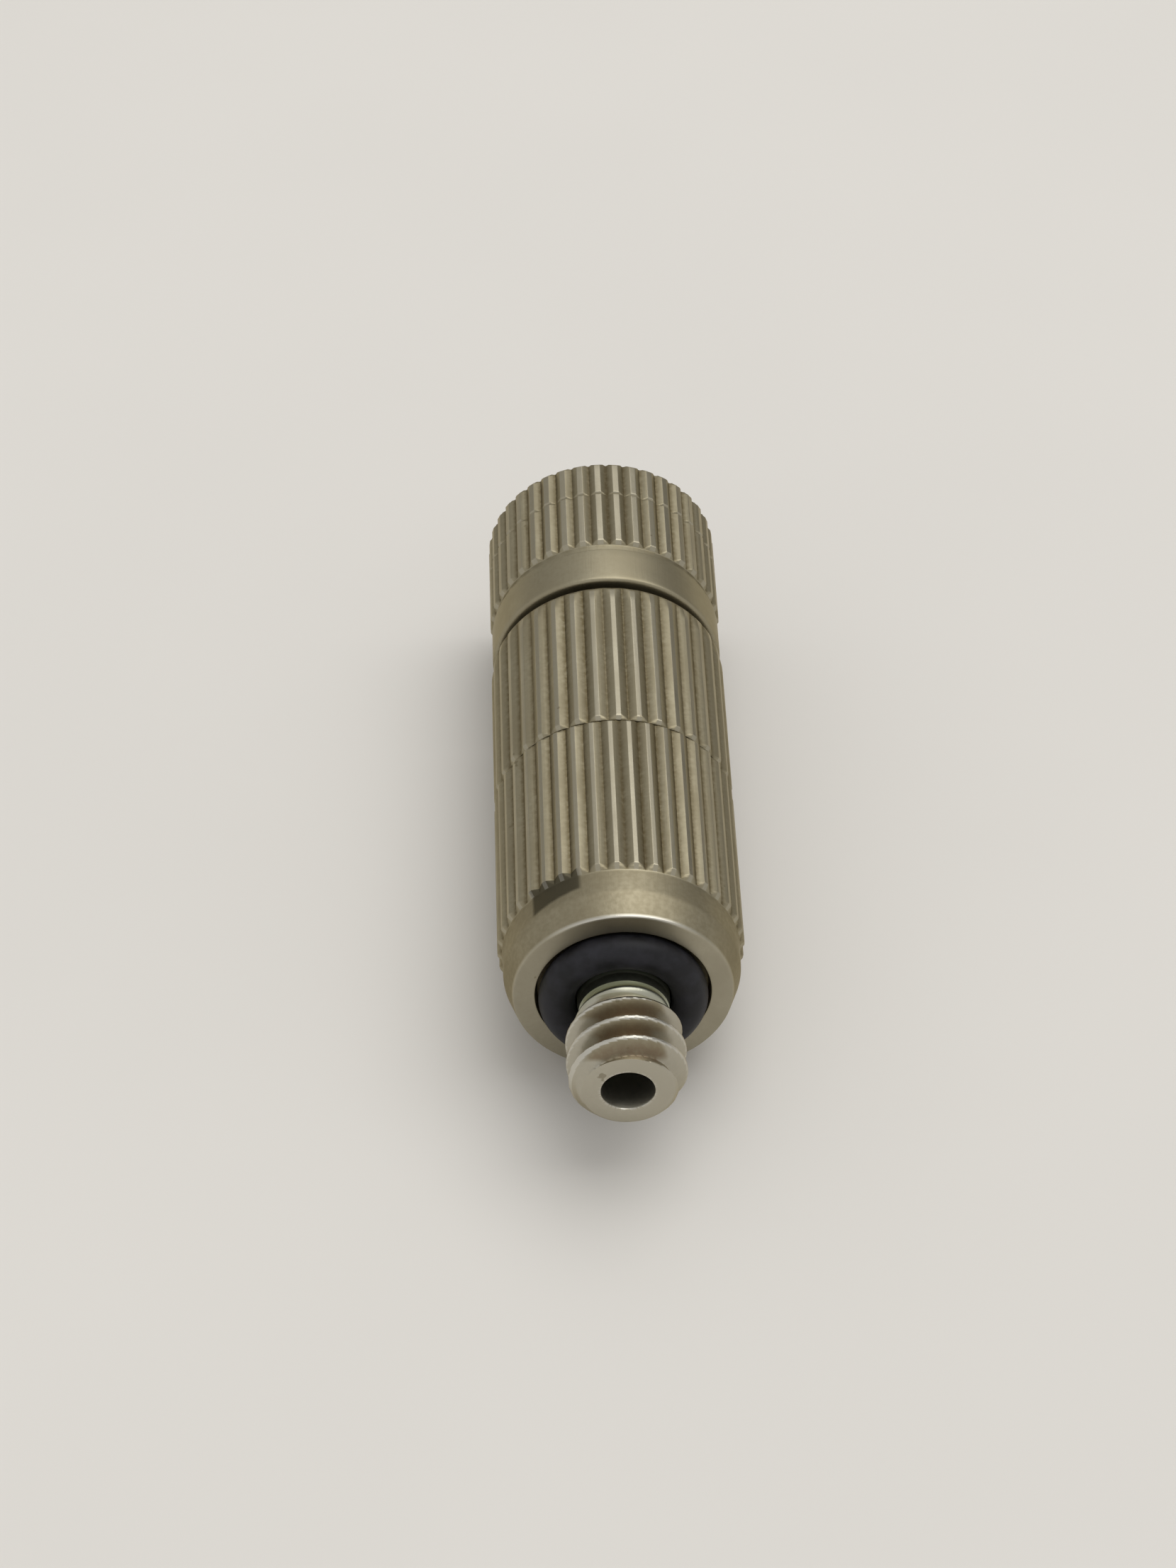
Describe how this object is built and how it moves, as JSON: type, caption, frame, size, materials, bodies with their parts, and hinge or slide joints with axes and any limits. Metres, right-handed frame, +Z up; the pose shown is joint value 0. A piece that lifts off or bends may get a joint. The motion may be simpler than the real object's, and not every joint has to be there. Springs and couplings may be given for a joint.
{
  "type": "misting nozzle",
  "caption": "Slim knurled misting nozzle with a threaded inlet stem and O-ring, a screw-together middle section with an anti-drip valve, and an unscrewable spray cap.",
  "frame": {"origin": "on the nozzle's axis, in the plane of the inlet body's seating face around the threaded stem", "axes": "+Y along the axis from the inlet stem to the spray face; +Z up with the nozzle lying on its side; +X to the right of that"},
  "size_m": [0.01, 0.0324, 0.01],
  "materials": {
    "nickel_plate": "satin nickel plate over brass",
    "bare_brass": "turned",
    "stainless": "fine turned",
    "black_rubber": "matte",
    "white_plastic": "moulded"
  },
  "bodies": {
    "inlet_section": {"inlet_body": "nickel_plate", "inlet_o_ring": "black_rubber", "filter_gasket": "black_rubber", "filter_cage": "white_plastic", "filter_screen": "stainless", "filter_end_cap": "white_plastic"},
    "joint_seal": {"body_seal_ring": "black_rubber"},
    "middle_section": {"middle_body": "nickel_plate", "valve_seat": "bare_brass", "seat_o_ring": "black_rubber", "valve_spring": "stainless", "spring_retainer": "bare_brass"},
    "valve": {"valve_ball": "stainless", "ball_carrier": "white_plastic"},
    "cap_seal": {"cap_seal_ring": "black_rubber"},
    "cap_section": {"nozzle_cap": "nickel_plate", "orifice_holder": "stainless", "orifice_plate": "stainless", "swirl_clip": "stainless"},
    "swirl": {"swirl_pin": "bare_brass"}
  },
  "joints": [
    {"name": "middle_advance", "type": "slide", "parent": "inlet_section", "child": "joint_seal", "axis": [0, 1, 0], "range_m": [0, 0.003]},
    {"name": "middle_turn", "type": "hinge", "parent": "joint_seal", "child": "middle_section", "pos_m": [0, 0.0108, 0], "axis": [0, 1, 0], "range_deg": [0, 1440.1]},
    {"name": "valve_lift", "type": "slide", "parent": "middle_section", "child": "valve", "axis": [0, 1, 0], "range_m": [0, 0.0006], "stiffness_N_per_m": 1800, "springref_m": -0.0015, "deforming": ["valve_spring"]},
    {"name": "cap_advance", "type": "slide", "parent": "middle_section", "child": "cap_seal", "axis": [0, 1, 0], "range_m": [0, 0.003]},
    {"name": "cap_turn", "type": "hinge", "parent": "cap_seal", "child": "cap_section", "pos_m": [0, 0.0195, 0], "axis": [0, 1, 0], "range_deg": [0, 1440.1]},
    {"name": "swirl_float", "type": "slide", "parent": "cap_section", "child": "swirl", "axis": [0, 1, 0], "range_m": [-0.00026, 0]}
  ],
  "couplings": [
    {"joint": "middle_turn", "follows": "middle_advance", "rad_per_m": 8377.6},
    {"joint": "cap_turn", "follows": "cap_advance", "rad_per_m": 8377.6}
  ]
}
